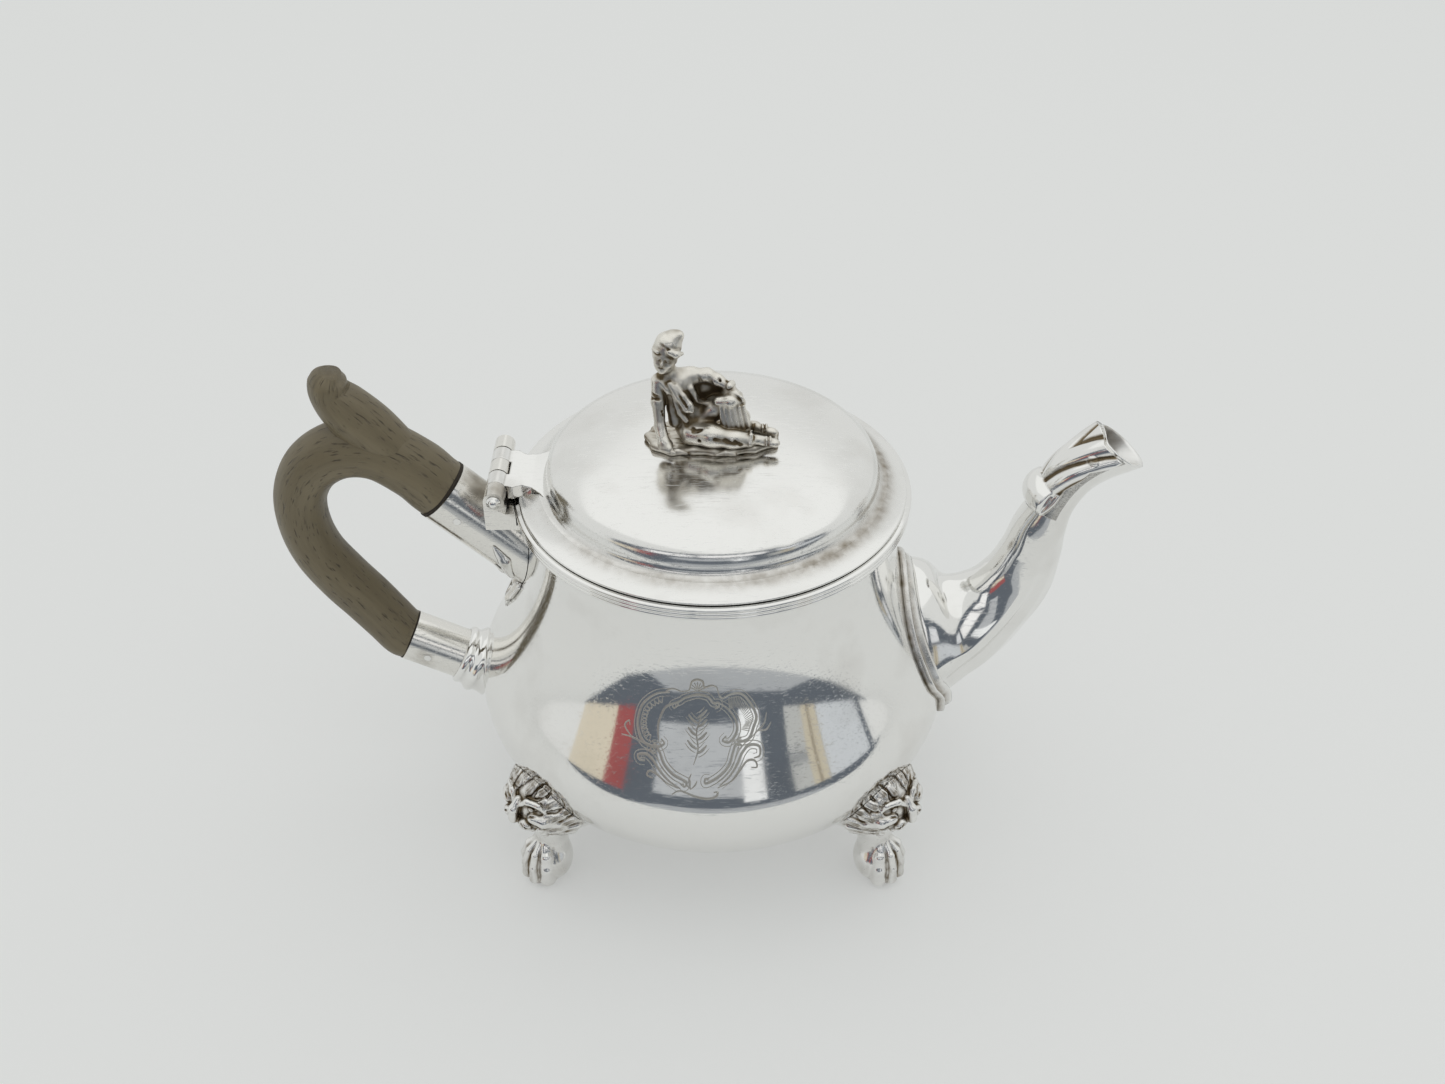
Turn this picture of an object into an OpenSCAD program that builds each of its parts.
// Silver teapot with a hinged lid, a wood handle and four lion-headed paw feet.
// Millimetres, +Z up. The table is z = 0 and the body's axis is the Z axis.
// The spout points along +X and the handle along -X.

/* [Body] */
// Radius of the belly at its widest ring
belly_r = 64.6; // [60:0.2:68]
// Height of the belly's widest ring above the table
belly_z = 43; // [40:0.5:47]
// Height of the body's lowest point above the table
body_bottom = 6.5; // [5:0.5:9]
// Fullness of the belly's lower half, 2 is an ellipse
belly_power = 2.1; // [2:0.05:2.5]
// Radius of the neck under the rim
neck_r = 48.2; // [46:0.2:51]
// Height where the neck meets the straight collar
neck_z = 97; // [94:0.5:101]
// Height of the straight collar under the mouth
collar_h = 5; // [4.5:0.25:6]
// How far the neck draws in below the collar
neck_waist = 1; // [0:0.25:3]
// Height over which the neck runs straight down
neck_run = 32; // [26:1:38]
// Height over which the shoulder runs straight into the belly
belly_run = 12.6; // [9:0.2:16]
// Thickness of the body's sheet
wall = 1.2; // [0.9:0.1:1.8]

/* [Rim] */
// How far the reeded rim stands out from the collar
rim_out = 3.1; // [2.4:0.1:4]
// Height of the reeded rim
rim_h = 3.4; // [2.8:0.1:4.2]
// Number of reeds on the rim
reed_count = 3; // [2:1:4]

/* [Strainer] */
// Radius of a strainer hole
strain_r = 1.5; // [1:0.1:2]
// Distance between the rings of strainer holes
strain_pitch = 4.6; // [4.4:0.1:5]

/* [Lid] */
// How far the lid's flange stands out past the collar
flange_over = 1.8; // [1:0.1:2.6]
// Thickness of the flange at its edge
flange_edge = 0.7; // [0.6:0.1:1.2]
// How far the flange climbs from its edge to the dome
flange_rise = 2.1; // [1.4:0.1:3]
// Width of the flange outside the foot of the dome
flange_w = 5.2; // [4.6:0.1:6.4]
// How far the dome's wall stands in from its foot
dome_step = 2.2; // [1.6:0.1:3.4]
// Height of the dome above the flange
dome_h = 10.4; // [8:0.2:13]
// Squareness of the dome's shoulder, 2 is an ellipse
dome_power = 4.4; // [3:0.1:5]
// Thickness of the dome's sheet
dome_wall = 1; // [0.8:0.1:1.5]
// Depth of the bezel that drops into the mouth
bezel_depth = 4.8; // [3.5:0.1:6]
// Thickness of the bezel
bezel_t = 1; // [0.8:0.1:1.5]
// Clearance between the bezel and the mouth
bezel_clear = 0.6; // [0.5:0.05:1]
// Running gap between the lid and the body
lid_gap = 0.3; // [0.25:0.05:0.5]

/* [Hinge] */
// Distance of the hinge axis from the flange's edge
hinge_out = 4.8; // [4.6:0.1:6]
// Height of the hinge axis above the mouth
hinge_up = 3.6; // [3.4:0.1:4.5]
// Radius of the hinge barrel
knuckle_r = 2.65; // [2.3:0.05:2.9]
// Length of the hinge barrel
hinge_len = 27; // [22:0.5:30]
// Radius of the hinge pin
pin_r = 1.2; // [1:0.05:1.4]
// Running clearance round the hinge pin
pin_clear = 0.05; // [0.02:0.01:0.1]
// Thickness of the lid's hinge leaf
leaf_t = 1.4; // [1.1:0.1:2]
// Width of the hinge leaf where it ends at the dome
leaf_tip_w = 14; // [10:0.5:18]

/* [Spout] */
// Height of the spout's root on the body
spout_z = 54; // [52:0.5:56]
// How far the spout's mouth cut lies from the root
mouth_out = 41; // [39:0.5:43]
// How far the mouth's rear edge lies above the root
mouth_up = 59; // [57.5:0.25:60]
// Fall of the mouth's lip for each unit forwards
mouth_slope = 0.4; // [0.3:0.05:0.5]
// Wall of the spout
spout_wall = 1.4; // [1:0.1:1.8]
// Thickness of the plate between spout and body
base_plate_t = 1.6; // [1.2:0.1:2.4]
// How far the plate shows round the spout's root
base_plate_edge = 1.8; // [1:0.1:2.6]
// Thickness of the leaf on the spout's back
cap_t = 1.6; // [1.2:0.1:2]
// Radius of the scroll at the foot of that leaf
scroll_r = 3.6; // [3:0.1:4.2]

/* [Handle sockets] */
// Height of the upper socket's mouth above the table
up_socket_z = 100; // [98:0.5:102]
// How far the upper socket's mouth stands out from the neck
up_socket_out = 21.8; // [20:0.2:24]
// Slope of the upper socket, in degrees above level
up_slope = 43.5; // [40:0.5:46]
// Outer radius of the upper socket
up_socket_r = 8.5; // [8:0.1:9.5]
// Height of the lower socket's mouth above the table
low_socket_z = 50.5; // [49:0.5:52]
// How far the lower socket's mouth stands out from the belly
low_socket_out = 19.9; // [18:0.1:22]
// Slope of the lower socket, in degrees above level
low_slope = 27; // [24:0.5:31]
// Outer radius of the lower socket
low_socket_r = 7; // [6.6:0.1:8]
// Radius of the collar round the lower socket
low_collar_r = 9.4; // [8.4:0.1:10.5]
// Length of that collar
low_collar_len = 7; // [5:0.5:9]
// Wall of both sockets
socket_wall = 1.2; // [0.9:0.1:1.6]

/* [Wood handle] */
// Length of each tenon inside its socket
tenon_len = 11; // [8:0.5:13]
// Clearance round the tenons
tenon_clear = 0.2; // [0.1:0.05:0.4]
// Radius of the pins through the tenons
handle_pin_r = 1; // [0.7:0.1:1.3]
// How far the pins lie from the socket mouths
handle_pin_in = 6; // [5:0.5:7]

/* [Feet] */
// Distance of the feet from the body's axis
foot_r = 61; // [58:0.5:63]
// Angle of the feet from the body's long axis
foot_turn = 42.5; // [38:0.5:45]
// Radius of the paw
paw_r = 6.6; // [6:0.1:7.2]
// Radius of a toe
toe_r = 2.5; // [2.1:0.1:2.8]
// How far the toes reach out from the foot's axis
toe_reach = 6.4; // [5.6:0.1:6.8]
// Radius of the ankle
ankle_r = 3.9; // [3.2:0.1:4.6]
// Radius of the lion mask
mask_r = 11.5; // [10.5:0.1:12.5]
// Height of the mask's middle above the table
mask_z = 30; // [29:0.5:33]
// How far the mask's middle lies inward of the foot's
mask_in = 2; // [0:0.5:3]
// Thickness of the mask's metal
mask_t = 2; // [1.5:0.1:3]
// Radius of the lion's muzzle
muzzle_r = 5; // [4:0.1:6]

/* [Acanthus drop] */
// Height of the drop's tip above the table
drop_tip_z = 63; // [60:0.5:66]
// Height from the drop's tip to its widest place
drop_rise = 9; // [7:0.5:12]
// Half the width of the drop
drop_half_w = 6.5; // [5:0.25:8]
// Thickness of the drop
drop_t = 2.4; // [1.6:0.1:3]

/* [Finial] */
// Half the length of the finial's ground plate
plate_half_l = 17; // [15:0.5:19]
// Half the width of the finial's ground plate
plate_half_w = 8; // [7:0.25:10]
// Thickness of the ground plate
plate_t = 1.6; // [1.2:0.1:2.4]
// Radius of the stud that holds the finial
stud_r = 1.5; // [1.2:0.1:2]
// Width of the nut across its flats
nut_w = 6; // [5:0.25:8]
// Thickness of the nut
nut_t = 2.4; // [1.8:0.1:3.5]
// Height of the seated figure above its plate
figure_h = 30.5; // [27:0.5:34]

/* [Hidden] */

$fn = 64;
SILVER = "silver";
WOOD = "#8d7c68";

solder = 0.1;          // film between two soldered pieces
cut = 400;             // length of a cutting tool that goes right through
profile_steps = 20;    // points along each half of the body's outline

mouth_z = neck_z + collar_h;
flange_z = mouth_z + lid_gap;
flange_top = flange_z + flange_edge;
dome_z = flange_top + flange_rise;
crown_z = dome_z + dome_h;
mouth_r = neck_r - wall;
rim_r = neck_r + rim_out;
flange_r = neck_r + flange_over;
dome_foot_r = flange_r - flange_w;
dome_r = dome_foot_r - dome_step;
bezel_r = mouth_r - bezel_clear;
hinge_x = -(flange_r + hinge_out);
hinge_z = mouth_z + hinge_up;
seat_z = crown_z + solder;
plate_top = seat_z + plate_t;

// ---- outlines -------------------------------------------------------------

function bezier(a, b, c, d, t) =
    pow(1 - t, 3) * a + 3 * pow(1 - t, 2) * t * b + 3 * (1 - t) * t * t * c + pow(t, 3) * d;

// Lower half of the belly, from the axis out to the widest ring.
lower_curve = [
    for (i = [0 : profile_steps])
        let (a = 90 - 90 * i / profile_steps)
        [
            belly_r * pow(cos(a), 2 / belly_power),
            belly_z - (belly_z - body_bottom) * pow(sin(a), 2 / belly_power)
        ]
];

// Upper half, from the widest ring up to the neck.
upper_curve = [
    for (i = [1 : profile_steps])
        bezier(
            [belly_r, belly_z],
            [belly_r, belly_z + belly_run],
            [neck_r - neck_waist, neck_z - neck_run],
            [neck_r, neck_z],
            i / profile_steps
        )
];

body_curve = concat(lower_curve, upper_curve, [[neck_r, mouth_z]]);

// The same outline moved sideways by d, inwards when d is positive.
function moved(path, d) = [
    for (i = [0 : len(path) - 1])
        let (
            before = path[max(i - 1, 0)],
            after = path[min(i + 1, len(path) - 1)],
            run = (after - before) / norm(after - before),
            p = path[i] + d * [-run[1], run[0]]
        )
        [i == 0 ? 0 : max(p[0], 0), i == len(path) - 1 ? path[i][1] : p[1]]
];

function backwards(list) = [for (i = [len(list) - 1 : -1 : 0]) list[i]];

// Radius of the body's outside at the height z.
radius_table = [for (p = body_curve) [p[1], p[0]]];
function body_radius(z) = lookup(z, radius_table);

// Radius at the height z of the body's outside, grown by d.
function space_radius(z, d) = lookup(z, [for (p = moved(body_curve, -d)) [p[1], p[0]]]);

// Everything inside the body's outside, grown by d.
module body_space(d) {
    grown = moved(body_curve, -d);
    rotate_extrude() {
        polygon(concat(grown, [[0, mouth_z]]));
    }
}

// A smooth curve through the rows of a list, u counts the rows.
function smooth(rows, u) =
    let (
        last = len(rows) - 1,
        k = min(floor(u), last - 1),
        t = u - k,
        p1 = rows[k],
        p2 = rows[k + 1],
        p0 = k > 0 ? rows[k - 1] : 2 * p1 - p2,
        p3 = k + 2 <= last ? rows[k + 2] : 2 * p2 - p1
    )
    0.5 * (2 * p1 + (p2 - p0) * t + (2 * p0 - 5 * p1 + 4 * p2 - p3) * t * t
        + (3 * p1 - p0 - 3 * p2 + p3) * t * t * t);

// Unit normal of that curve in the XZ plane, to the left of its run.
function side_of(rows, u) =
    let (
        e = 0.02,
        last = len(rows) - 1,
        a = smooth(rows, max(u - e, 0)),
        b = smooth(rows, min(u + e, last)),
        d = [b[0] - a[0], b[1] - a[1]]
    )
    [-d[1], d[0]] / norm(d);

// One point of a cross-section. Each row holds [x, z, up, down, half width, taper]:
// up and down are the reach to each side of the curve, and taper narrows the upper
// side. The angle runs from 0 at +Y over 90 at the upper side.
function ring_point(rows, u, angle, inset = 0) =
    let (
        row = smooth(rows, u),
        n = side_of(rows, u),
        reach = (sin(angle) > 0 ? row[2] : row[3]) - inset,
        v = reach * sin(angle),
        w = (row[4] - inset) * cos(angle) * (1 - row[5] * sin(angle))
    )
    [row[0] + v * n[0], w, row[1] + v * n[1]];

// Faces between the rows of a grid of points that starts at the index first.
function grid_faces(rows, cols, first, wrap, flip) = [
    for (r = [0 : rows - 2])
        for (c = [0 : cols - (wrap ? 1 : 2)])
            let (
                a = first + r * cols + c,
                b = first + r * cols + (c + 1) % cols,
                d = a + cols,
                e = b + cols
            )
            for (half = [0, 1])
                half == 0 ? (flip ? [a, b, e] : [a, e, b]) : (flip ? [a, e, d] : [a, d, e])
];

// A solid bar that follows a list of rows, closed at both ends.
module bar(rows, from, to, rings, sides) {
    points = [
        for (i = [0 : rings])
            for (s = [0 : sides - 1])
                ring_point(rows, from + (to - from) * i / rings, 360 * s / sides)
    ];
    faces = concat(
        grid_faces(rings + 1, sides, 0, true, false),
        [for (s = [1 : sides - 2]) [0, s, s + 1]],
        [for (s = [1 : sides - 2]) [rings * sides, rings * sides + s + 1, rings * sides + s]]
    );
    polyhedron(points, faces);
}

// A closed solid between two skins of rows by cols points. Skins that wrap meet
// themselves, and the others are closed along their sides.
module skin_pair(outer, inner, rows, cols, wrap) {
    n = len(outer);
    last = (rows - 1) * cols;
    ends = [
        for (s = [0 : cols - (wrap ? 1 : 2)])
            let (e = (s + 1) % cols)
            for (f = [
                [s, e, n + e], [s, n + e, n + s],
                [last + s, n + last + e, last + e], [last + s, n + last + s, n + last + e]
            ])
            f
    ];
    edges = wrap ? [] : [
        for (i = [0 : rows - 2])
            let (a = i * cols, b = a + cols, c = a + cols - 1, d = c + cols)
            for (f = [
                [a, n + b, b], [a, n + a, n + b],
                [c, d, n + d], [c, n + d, n + c]
            ])
            f
    ];
    faces = concat(
        grid_faces(rows, cols, 0, wrap, false),
        grid_faces(rows, cols, n, wrap, true),
        ends,
        edges
    );
    polyhedron(concat(outer, inner), faces);
}

// ---- body -----------------------------------------------------------------

strain_z = spout_z;

module body_shell() {
    inner = moved(body_curve, wall);
    color(SILVER) difference() {
        rotate_extrude() {
            polygon(concat(body_curve, backwards(inner)));
        }
        for (ring = [0 : 2], k = [0 : max(6 * ring, 1) - 1]) {
            a = ring == 0 ? 0 : 60 * k / ring;
            translate([mouth_r / 2, ring * strain_pitch * cos(a), strain_z + ring * strain_pitch * sin(a)]) {
                rotate([0, 90, 0]) {
                    cylinder(h = belly_r, r = strain_r);
                }
            }
        }
    }
}

module rim_moulding() {
    reed_r = rim_h / reed_count / 2;
    color(SILVER) rotate_extrude() {
        difference() {
            union() {
                translate([neck_r + solder, mouth_z - rim_h]) {
                    square([rim_out - reed_r - solder, rim_h]);
                }
                for (k = [0 : reed_count - 1]) {
                    translate([rim_r - reed_r * (1 + 0.5 * (reed_count - 1 - k) / reed_count),
                        mouth_z - rim_h + reed_r * (2 * k + 1)]) {
                        circle(r = reed_r);
                    }
                }
            }
            square([neck_r + solder, cut]);
        }
    }
}

// ---- spout ----------------------------------------------------------------

// The spout's curve from its root on the body, as [out, up, up reach, down reach,
// half width, taper]. The first row only sets the direction it leaves the body in.
root_x = body_radius(spout_z);
spout_shape = [
    [-16, -2.5, 24, 22, 22, 0.3],
    [-4, -0.5, 22.3, 20.5, 20.5, 0.3],
    [6, 2.3, 16, 16.5, 14.5, 0.26],
    [14.1, 9.2, 11.5, 12.6, 10.6, 0.18],
    [19.4, 17.2, 9.6, 10.6, 8.8, 0.1],
    [22.3, 26.1, 8.1, 8.6, 7.8, 0.04],
    [23.8, 35, 6.8, 7.2, 7.2, 0],
    [26, 43.2, 4.8, 6.4, 6.3, 0],
    [30, 51.5, 4.8, 6.8, 6.3, 0],
    [35.5, 57, 5, 7.4, 6.6, 0],
    [42.3, 61, 6.4, 7.8, 7.3, 0],
    [50, 65, 6.8, 8, 7.3, 0]
];
spout_rows = [for (r = spout_shape) [root_x + r[0], spout_z + r[1], r[2], r[3], r[4], r[5]]];
spout_rings = 30;
spout_sides = 24;
root_row = 1;          // the row whose outline lies on the body
free_row = 2;          // the first row that stands clear of it

// The outline of the row on the body, seen along the X axis.
function root_outline(grow) = [
    for (s = [0 : spout_sides - 1])
        let (p = ring_point(spout_rows, root_row, 360 * s / spout_sides, -grow))
        [p[1], p[2]]
];

// The same outline's point at one angle, laid on the base plate.
function root_point(angle, inset) =
    let (
        p = ring_point(spout_rows, root_row, angle, inset),
        r = space_radius(p[2], base_plate_t + 2 * solder)
    )
    [sqrt(r * r - p[1] * p[1]), p[1], p[2]];

// The mouth is cut upright behind and on a slope that runs down to the lip.
mouth_x = root_x + mouth_out;
function past_mouth(p) = p[0] > mouth_x && p[2] > spout_z + mouth_up - mouth_slope * (p[0] - mouth_x);

// Where the pipe's line at one angle meets that cut, found by halving.
halvings = 14;
function mouth_u(angle, inset, low = free_row, high = len(spout_rows) - 1, n = halvings) =
    let (mid = (low + high) / 2)
    n == 0 ? mid : past_mouth(ring_point(spout_rows, mid, angle, inset))
        ? mouth_u(angle, inset, low, mid, n - 1)
        : mouth_u(angle, inset, mid, high, n - 1);

// One skin of the spout's pipe: its root ring, then rings up to the mouth.
function pipe_skin(inset) =
    let (ends = [for (s = [0 : spout_sides - 1]) mouth_u(360 * s / spout_sides, inset)])
    [
        for (i = [0 : spout_rings])
            for (s = [0 : spout_sides - 1])
                let (angle = 360 * s / spout_sides, part = (i - 1) / (spout_rings - 1))
                i == 0
                    ? root_point(angle, inset)
                    : ring_point(spout_rows, free_row + (ends[s] - free_row) * part, angle, inset)
    ];

module spout() {
    color(SILVER) {
        skin_pair(pipe_skin(0), pipe_skin(spout_wall), spout_rings + 1, spout_sides, true);
    }
}

module spout_base_plate() {
    color(SILVER) difference() {
        intersection() {
            body_space(solder + base_plate_t);
            through_x(root_outline(base_plate_edge));
        }
        body_space(solder);
        through_x(root_outline(-spout_wall));
    }
}

module through_x(outline) {
    rotate([90, 0, 90]) {
        linear_extrude(height = cut) {
            polygon(outline);
        }
    }
}

leaf_foot = 6.75;      // the place on the spout's rows where the leaf starts
leaf_back = 0.05;      // how far it stops short of the mouth, in rows
leaf_lap = 100;        // how far it wraps to each side, in degrees
leaf_sides = 16;
leaf_rings = 18;
curl_rings = 8;        // the rings that the scroll at its foot takes
curl_lap = 52;         // how far the scroll wraps to each side, in degrees
curl_span = 2 * scroll_r / norm([for (k = [0, 1]) spout_shape[8][k] - spout_shape[7][k]]);

// Where ring i of the leaf lies on the spout's rows, the last one near the mouth.
function leaf_u(i, top) =
    i <= curl_rings
        ? leaf_foot + curl_span * (1 - cos(180 * i / curl_rings)) / 2
        : leaf_foot + curl_span + (top - leaf_foot - curl_span) * (i - curl_rings) / (leaf_rings - curl_rings);

// Thickness of the leaf at ring i, with the half-round scroll at its foot.
function leaf_height(i, turn) =
    i < curl_rings && abs(turn) < curl_lap ? max(cap_t, scroll_r * sin(180 * i / curl_rings)) : cap_t;

// One skin of the leaf, the outer one when share is 1 and the inner one when it is 0.
function leaf_skin(share) = [
    for (i = [0 : leaf_rings])
        for (s = [0 : leaf_sides])
            let (
                turn = leaf_lap * (2 * s / leaf_sides - 1),
                top = mouth_u(turn + 90, 0) - leaf_back
            )
            ring_point(spout_rows, leaf_u(i, top), turn + 90, -solder - share * leaf_height(i, turn))
];

module spout_leaf_cap() {
    color(SILVER) {
        skin_pair(leaf_skin(1), leaf_skin(0), leaf_rings + 1, leaf_sides + 1, false);
    }
}

// ---- handle sockets and handle --------------------------------------------

up_mouth = [-(neck_r + up_socket_out), up_socket_z];
low_mouth = [-(belly_r + low_socket_out), low_socket_z];

// Puts a child drawn along +Z at a socket's mouth, running towards the body.
module at_socket(mouth, slope) {
    translate([mouth[0], 0, mouth[1]]) {
        rotate([0, 90 + slope, 0]) {
            children();
        }
    }
}

module socket_pipe(outer, length) {
    rotate_extrude() {
        translate([outer - socket_wall, 0]) {
            square([socket_wall, length]);
        }
    }
}

module upper_socket() {
    length = up_socket_out / cos(up_slope) + up_socket_r;
    color(SILVER) difference() {
        at_socket(up_mouth, up_slope) {
            socket_pipe(up_socket_r, length);
        }
        body_space(solder);
        pin_hole(up_mouth, up_slope);
    }
}

module lower_socket() {
    length = low_socket_out / cos(low_slope) + low_socket_r;
    color(SILVER) difference() {
        at_socket(low_mouth, low_slope) {
            socket_pipe(low_socket_r, length);
        }
        body_space(solder);
        pin_hole(low_mouth, low_slope);
    }
}

module lower_collar() {
    reach = low_socket_out / cos(low_slope);
    color(SILVER) difference() {
        at_socket(low_mouth, low_slope) {
            rotate_extrude() {
                difference() {
                    union() {
                        translate([0, reach - low_collar_len]) {
                            square([low_collar_r - 1, low_collar_len + low_collar_r]);
                        }
                        for (k = [0 : 2]) {
                            translate([low_collar_r - 1.2, reach - low_collar_len + 1.2 + k * low_collar_len / 3]) {
                                circle(r = 1.2);
                            }
                        }
                    }
                    square([low_socket_r + solder, cut]);
                }
            }
        }
        body_space(solder);
    }
}

module acanthus_drop() {
    top = up_socket_z - up_socket_out * tan(up_slope);
    color(SILVER) difference() {
        intersection() {
            body_space(solder + drop_t);
            mirror([1, 0, 0]) {
                through_x([
                    [0, drop_tip_z],
                    [drop_half_w * 0.55, drop_tip_z + drop_rise / 3],
                    [drop_half_w, drop_tip_z + drop_rise],
                    [drop_half_w * 0.8, top + up_socket_r],
                    [-drop_half_w * 0.8, top + up_socket_r],
                    [-drop_half_w, drop_tip_z + drop_rise],
                    [-drop_half_w * 0.55, drop_tip_z + drop_rise / 3]
                ]);
            }
        }
        body_space(solder);
        at_socket(up_mouth, up_slope) {
            cylinder(h = cut, r = up_socket_r + solder);
        }
    }
}

module pin_hole(mouth, slope, grow = solder / 2) {
    at_socket(mouth, slope) {
        translate([0, cut / 2, handle_pin_in]) {
            rotate([90, 0, 0]) {
                cylinder(h = cut, r = handle_pin_r + grow);
            }
        }
    }
}

module handle_pin(mouth, slope, outer) {
    color(SILVER) at_socket(mouth, slope) {
        translate([0, outer, handle_pin_in]) {
            rotate([90, 0, 0]) {
                cylinder(h = 2 * outer, r = handle_pin_r);
            }
        }
    }
}

module upper_handle_pin() {
    handle_pin(up_mouth, up_slope, up_socket_r);
}

module lower_handle_pin() {
    handle_pin(low_mouth, low_slope, low_socket_r);
}

// The grip's curve, as [x, z, outer reach, inner reach, half width, taper]. It starts
// and ends on the axes of the two sockets.
function along(mouth, slope, s) = mouth + s * [-cos(slope), sin(slope)];
up_r = up_socket_r - 0.3;
low_r = low_socket_r - 0.2;
up_start = along(up_mouth, up_slope, solder);
up_next = along(up_mouth, up_slope, 3);
low_start = along(low_mouth, low_slope, solder);
low_next = along(low_mouth, low_slope, 2.6);
grip_rows = [
    [up_start[0], up_start[1], up_r, up_r, up_r, 0],
    [up_next[0], up_next[1], 8.3, 8.3, 8, 0],
    [up_mouth[0] - 6.5, up_mouth[1] + 6.6, 8.4, 8.4, 7.6, 0],
    [up_mouth[0] - 15.5, up_mouth[1] + 12, 7.8, 8.6, 7.4, 0],
    [up_mouth[0] - 24.5, up_mouth[1] + 12.2, 7.4, 8, 7.2, 0],
    [up_mouth[0] - 32.5, up_mouth[1] + 7.6, 7.2, 7.3, 7, 0],
    [up_mouth[0] - 37.2, up_mouth[1] - 0.6, 7, 6.9, 6.8, 0],
    [up_mouth[0] - 37.9, up_mouth[1] - 10, 6.9, 6.8, 6.8, 0],
    [low_mouth[0] - 21, low_mouth[1] + 30, 6.9, 6.9, 6.8, 0],
    [low_mouth[0] - 15.8, low_mouth[1] + 21, 7.2, 7.2, 6.8, 0],
    [low_mouth[0] - 10.3, low_mouth[1] + 13.3, 7.2, 7.2, 6.7, 0],
    [low_mouth[0] - 5.6, low_mouth[1] + 6.2, 7, 7, 6.7, 0],
    [low_next[0], low_next[1], 7, 7, 6.7, 0],
    [low_start[0], low_start[1], low_r, low_r, low_r, 0]
];

// The thumb scroll that rises off the grip's upper bend.
thumb_rows = [
    [up_mouth[0] - 9.5, up_mouth[1] + 11, 6, 6, 6, 0],
    [up_mouth[0] - 16, up_mouth[1] + 18.5, 7.2, 7, 6.6, 0],
    [up_mouth[0] - 22, up_mouth[1] + 25, 6.6, 6.4, 6.4, 0],
    [up_mouth[0] - 24.4, up_mouth[1] + 30.5, 4.4, 4.4, 5, 0],
    [up_mouth[0] - 24, up_mouth[1] + 35.4, 1, 1, 1.6, 0]
];

module wood_handle() {
    color(WOOD) difference() {
        union() {
            bar(grip_rows, 0, len(grip_rows) - 1, 48, 16);
            bar(thumb_rows, 0, len(thumb_rows) - 1, 12, 16);
            at_socket(up_mouth, up_slope) {
                translate([0, 0, -1]) {
                    cylinder(h = tenon_len + 1, r = up_socket_r - socket_wall - tenon_clear);
                }
            }
            at_socket(low_mouth, low_slope) {
                translate([0, 0, -1]) {
                    cylinder(h = tenon_len + 1, r = low_socket_r - socket_wall - tenon_clear);
                }
            }
        }
        pin_hole(up_mouth, up_slope);
        pin_hole(low_mouth, low_slope);
    }
}

// ---- hinge ----------------------------------------------------------------

knuckle_count = 5;
knuckle_pitch = hinge_len / knuckle_count;

// Knuckles whose numbers have the given parity, cut back by gap at each inner end.
module knuckles(parity, grow, gap) {
    for (k = [parity : 2 : knuckle_count - 1]) {
        low_end = -hinge_len / 2 + k * knuckle_pitch + (k == 0 ? 0 : gap);
        high_end = -hinge_len / 2 + (k + 1) * knuckle_pitch - (k == knuckle_count - 1 ? 0 : gap);
        translate([hinge_x, high_end, hinge_z]) {
            rotate([90, 0, 0]) {
                cylinder(h = high_end - low_end, r = knuckle_r + grow);
            }
        }
    }
}

module along_hinge(r, extra) {
    translate([hinge_x, hinge_len / 2 + extra, hinge_z]) {
        rotate([90, 0, 0]) {
            cylinder(h = hinge_len + 2 * extra, r = r);
        }
    }
}

module body_hinge_plate() {
    back = hinge_x - knuckle_r;
    color(SILVER) difference() {
        union() {
            knuckles(0, 0, lid_gap / 2);
            translate([0, hinge_len / 2, 0]) {
                rotate([90, 0, 0]) {
                    linear_extrude(height = hinge_len) {
                        polygon([
                            [back, hinge_z],
                            [back, mouth_z - rim_h - 1.5],
                            [-mouth_r / 2, mouth_z - rim_h - 1.5],
                            [-mouth_r / 2, mouth_z],
                            [hinge_x + knuckle_r, mouth_z],
                            [hinge_x + 1, hinge_z - knuckle_r]
                        ]);
                    }
                }
            }
        }
        knuckles(1, lid_gap, -lid_gap / 2);
        body_space(solder);
        rotate_extrude() {
            translate([0, mouth_z - rim_h - solder]) {
                square([rim_r + solder, cut]);
            }
        }
        at_socket(up_mouth, up_slope) {
            cylinder(h = cut, r = up_socket_r + solder);
        }
        along_hinge(pin_r + solder / 10, cut);
    }
}

module hinge_pin() {
    color(SILVER) {
        along_hinge(pin_r, 0.6);
    }
}

module lid_hinge_leaf() {
    root = hinge_x + knuckle_r + lid_gap;
    color(SILVER) difference() {
        union() {
            knuckles(1, 0, lid_gap / 2);
            for (k = [1 : 2 : knuckle_count - 1]) {
                translate([hinge_x, -hinge_len / 2 + k * knuckle_pitch + lid_gap / 2, hinge_z]) {
                    cube([knuckle_r + 2 * lid_gap, knuckle_pitch - lid_gap, leaf_t]);
                }
            }
            translate([0, 0, flange_z]) {
                linear_extrude(height = hinge_z + leaf_t - flange_z) {
                    polygon([
                        [root, -hinge_len / 2 + knuckle_pitch / 2],
                        [root + 3, -leaf_tip_w * 0.7],
                        [-dome_r - 1.5, -leaf_tip_w / 2],
                        [-dome_r - 1.5, leaf_tip_w / 2],
                        [root + 3, leaf_tip_w * 0.7],
                        [root, hinge_len / 2 - knuckle_pitch / 2]
                    ]);
                }
            }
        }
        lid_space(solder);
        knuckles(0, lid_gap, -lid_gap / 2);
        rotate_extrude() {
            square([rim_r + lid_gap, flange_z]);
        }
        along_hinge(pin_r + pin_clear, cut);
    }
}

// ---- lid ------------------------------------------------------------------

dome_steps = 18;

// The dome's wall and crown, from the axis down to its foot.
dome_curve = concat(
    [
        for (i = [0 : dome_steps])
            let (a = 90 - 84 * i / dome_steps)
            [
                dome_r * pow(cos(a), 2 / dome_power),
                dome_z + dome_h * pow(sin(a), 2 / dome_power)
            ]
    ],
    [[dome_foot_r, dome_z]]
);

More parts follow.
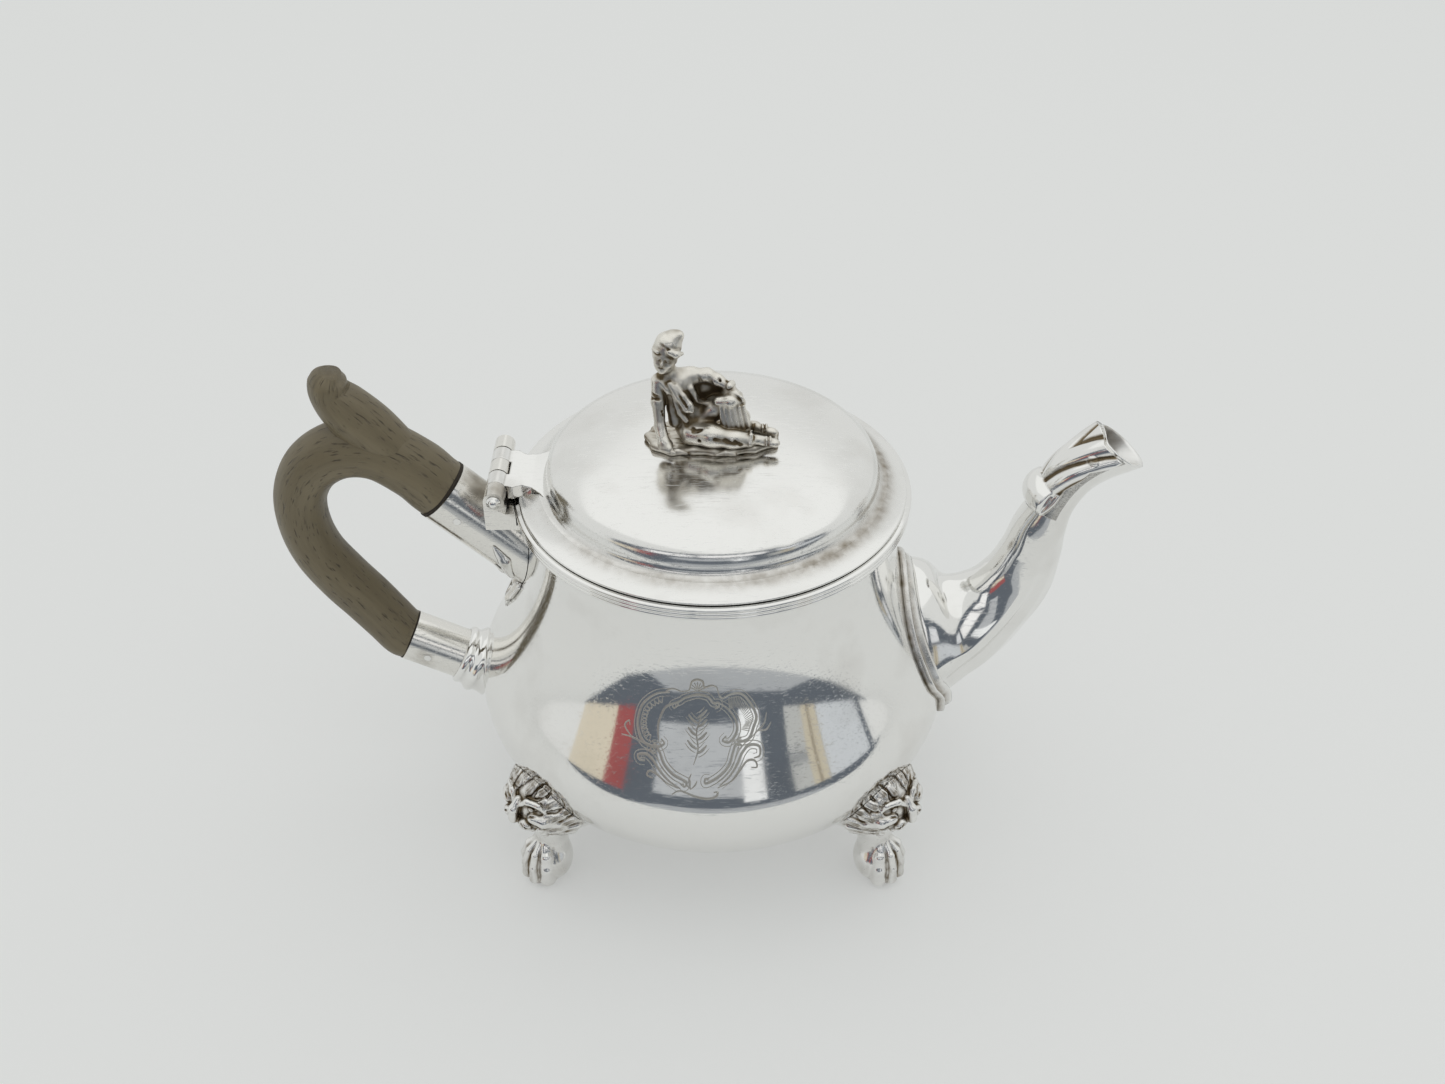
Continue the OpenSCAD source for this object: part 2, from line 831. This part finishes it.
// Everything the lid's flange and dome take, grown by d.
module lid_space(d) {
    rotate_extrude() {
        polygon(concat(
            [for (p = dome_curve) [p[0] + (p[0] > 1 ? d : 0), p[1] + d]],
            [[flange_r + d, flange_top + d], [flange_r + d, flange_z - d], [0, flange_z - d]]
        ));
    }
}

module lid_dome() {
    inside = [
        for (p = dome_curve)
            [p[0] < 1 ? p[0] : max(0, p[0] - dome_wall), p[1] < dome_z + 1 ? dome_z : p[1] - dome_wall]
    ];
    color(SILVER) difference() {
        rotate_extrude() {
            polygon(concat(dome_curve, backwards(inside)));
        }
        cylinder(h = cut, r = stud_r + solder);
    }
}

module lid_flange() {
    inner_r = dome_foot_r - 3;
    color(SILVER) rotate_extrude() {
        polygon([
            [inner_r, flange_z],
            [flange_r, flange_z],
            [flange_r, flange_top],
            [dome_foot_r, dome_z - solder],
            [inner_r, dome_z - solder]
        ]);
    }
}

module lid_bezel() {
    color(SILVER) rotate_extrude() {
        translate([bezel_r - bezel_t, flange_z - solder - bezel_depth]) {
            square([bezel_t, bezel_depth]);
        }
    }
}

// ---- finial ---------------------------------------------------------------

module finial_plate() {
    color(SILVER) difference() {
        translate([0, 0, seat_z]) {
            linear_extrude(height = plate_t) {
                polygon([
                    for (k = [0 : 23])
                        let (a = 15 * k, wobble = 1 - 0.05 * (1 + sin(3 * a)) / 2)
                        [plate_half_l * cos(a) * wobble, plate_half_w * sin(a) * wobble]
                ]);
            }
        }
        cylinder(h = cut, r = stud_r + solder);
    }
}

module finial_stud() {
    bottom = crown_z - dome_wall - solder - nut_t - 0.8;
    color(SILVER) translate([0, 0, bottom]) {
        cylinder(h = plate_top - bottom, r = stud_r);
    }
}

module finial_nut() {
    color(SILVER) translate([0, 0, crown_z - dome_wall - solder - nut_t]) {
        difference() {
            cylinder(h = nut_t, d = nut_w / cos(30), $fn = 6);
            translate([0, 0, -1]) {
                cylinder(h = nut_t + 2, r = stud_r + solder / 2);
            }
        }
    }
}

limb_shaft = 0.97;     // a limb's shaft against the radius of its round ends

// A limb from a to b with round ends, radius ra at a and rb at b.
module limb(a, b, ra, rb) {
    d = b - a;
    length = norm(d);
    translate(a) {
        sphere(r = ra);
        rotate([0, acos(d[2] / length), atan2(d[1], d[0])]) {
            cylinder(h = length, r1 = limb_shaft * ra, r2 = limb_shaft * rb);
        }
    }
    translate(b) {
        sphere(r = rb);
    }
}

// The seated figure, drawn for a height of 1 and scaled to figure_h.
module finial_figure() {
    color(SILVER) difference() {
        translate([0, 0, plate_top + solder]) {
            scale(figure_h) {
                hips = [-0.08, 0.02, 0.12];
                chest = [-0.2, 0.02, 0.5];
                head = [-0.36, -0.04, 0.8];
                limb(hips, chest, 0.17, 0.16);
                limb(chest, head, 0.09, 0.07);
                translate(head) {
                    sphere(r = 0.1);
                }
                limb(head + [0.01, 0, 0.06], head + [0.07, 0, 0.17], 0.1, 0.03);
                limb([-0.33, -0.04, 0.52], [-0.38, -0.14, 0.28], 0.07, 0.06);
                limb([-0.38, -0.14, 0.28], [-0.34, -0.2, 0.06], 0.06, 0.05);
                limb([-0.08, -0.02, 0.52], [0.06, -0.06, 0.36], 0.07, 0.06);
                limb([-0.02, 0.02, 0.14], [0.12, -0.02, 0.4], 0.11, 0.09);
                limb([0.12, -0.02, 0.4], [0.2, 0.06, 0.08], 0.09, 0.07);
                limb([-0.1, -0.12, 0.12], [0.2, -0.16, 0.12], 0.11, 0.08);
                limb([0.2, -0.16, 0.12], [0.42, -0.08, 0.07], 0.07, 0.05);
            }
        }
        translate([0, 0, plate_top + solder - cut]) {
            linear_extrude(height = cut) {
                square(cut, center = true);
            }
        }
    }
}

// ---- feet -----------------------------------------------------------------

foot_angles = [180 + foot_turn, 360 - foot_turn, 180 - foot_turn, foot_turn];

module at_foot(k) {
    rotate([0, 0, foot_angles[k]]) {
        translate([foot_r, 0, 0]) {
            children();
        }
    }
}

module paw(k) {
    toe_gap = 2 * toe_r + 0.3;
    bulb_out = 0.5;
    color(SILVER) difference() {
        at_foot(k) {
            union() {
                translate([bulb_out, 0, paw_r - 1]) {
                    sphere(r = paw_r);
                }
                for (t = [-1.5 : 1 : 1.5]) {
                    tip = [toe_reach - 0.7 * abs(t), t * toe_gap * 0.85, toe_r - 0.4];
                    limb([bulb_out + 1, t * toe_gap * 0.8, paw_r - 1], tip, toe_r, toe_r);
                }
                translate([bulb_out - 1.5, 0, paw_r]) {
                    cylinder(h = mask_z - paw_r, r1 = ankle_r + 1, r2 = ankle_r - 0.4);
                }
            }
        }
        translate([-cut / 2, -cut / 2, -cut]) {
            cube(cut);
        }
        at_foot(k) {
            translate([-mask_in, 0, mask_z]) {
                sphere(r = mask_r + solder);
            }
        }
        body_space(solder);
    }
}

module mask(k) {
    color(SILVER) difference() {
        at_foot(k) {
            union() {
                translate([-mask_in, 0, mask_z]) {
                    sphere(r = mask_r);
                }
                translate([mask_r / 2 - mask_in, 0, mask_z - muzzle_r]) {
                    sphere(r = muzzle_r);
                }
            }
        }
        at_foot(k) {
            translate([-mask_in, 0, mask_z]) {
                sphere(r = mask_r - mask_t);
            }
        }
        body_space(solder);
    }
}

module front_left_mask() { mask(0); }
module front_left_paw() { paw(0); }
module front_right_mask() { mask(1); }
module front_right_paw() { paw(1); }
module rear_left_mask() { mask(2); }
module rear_left_paw() { paw(2); }
module rear_right_mask() { mask(3); }
module rear_right_paw() { paw(3); }

body_shell();
rim_moulding();
spout();
spout_base_plate();
spout_leaf_cap();
upper_socket();
acanthus_drop();
lower_socket();
lower_collar();
wood_handle();
upper_handle_pin();
lower_handle_pin();
body_hinge_plate();
hinge_pin();
lid_hinge_leaf();
lid_flange();
lid_dome();
lid_bezel();
finial_plate();
finial_figure();
finial_stud();
finial_nut();
front_left_mask();
front_left_paw();
front_right_mask();
front_right_paw();
rear_left_mask();
rear_left_paw();
rear_right_mask();
rear_right_paw();
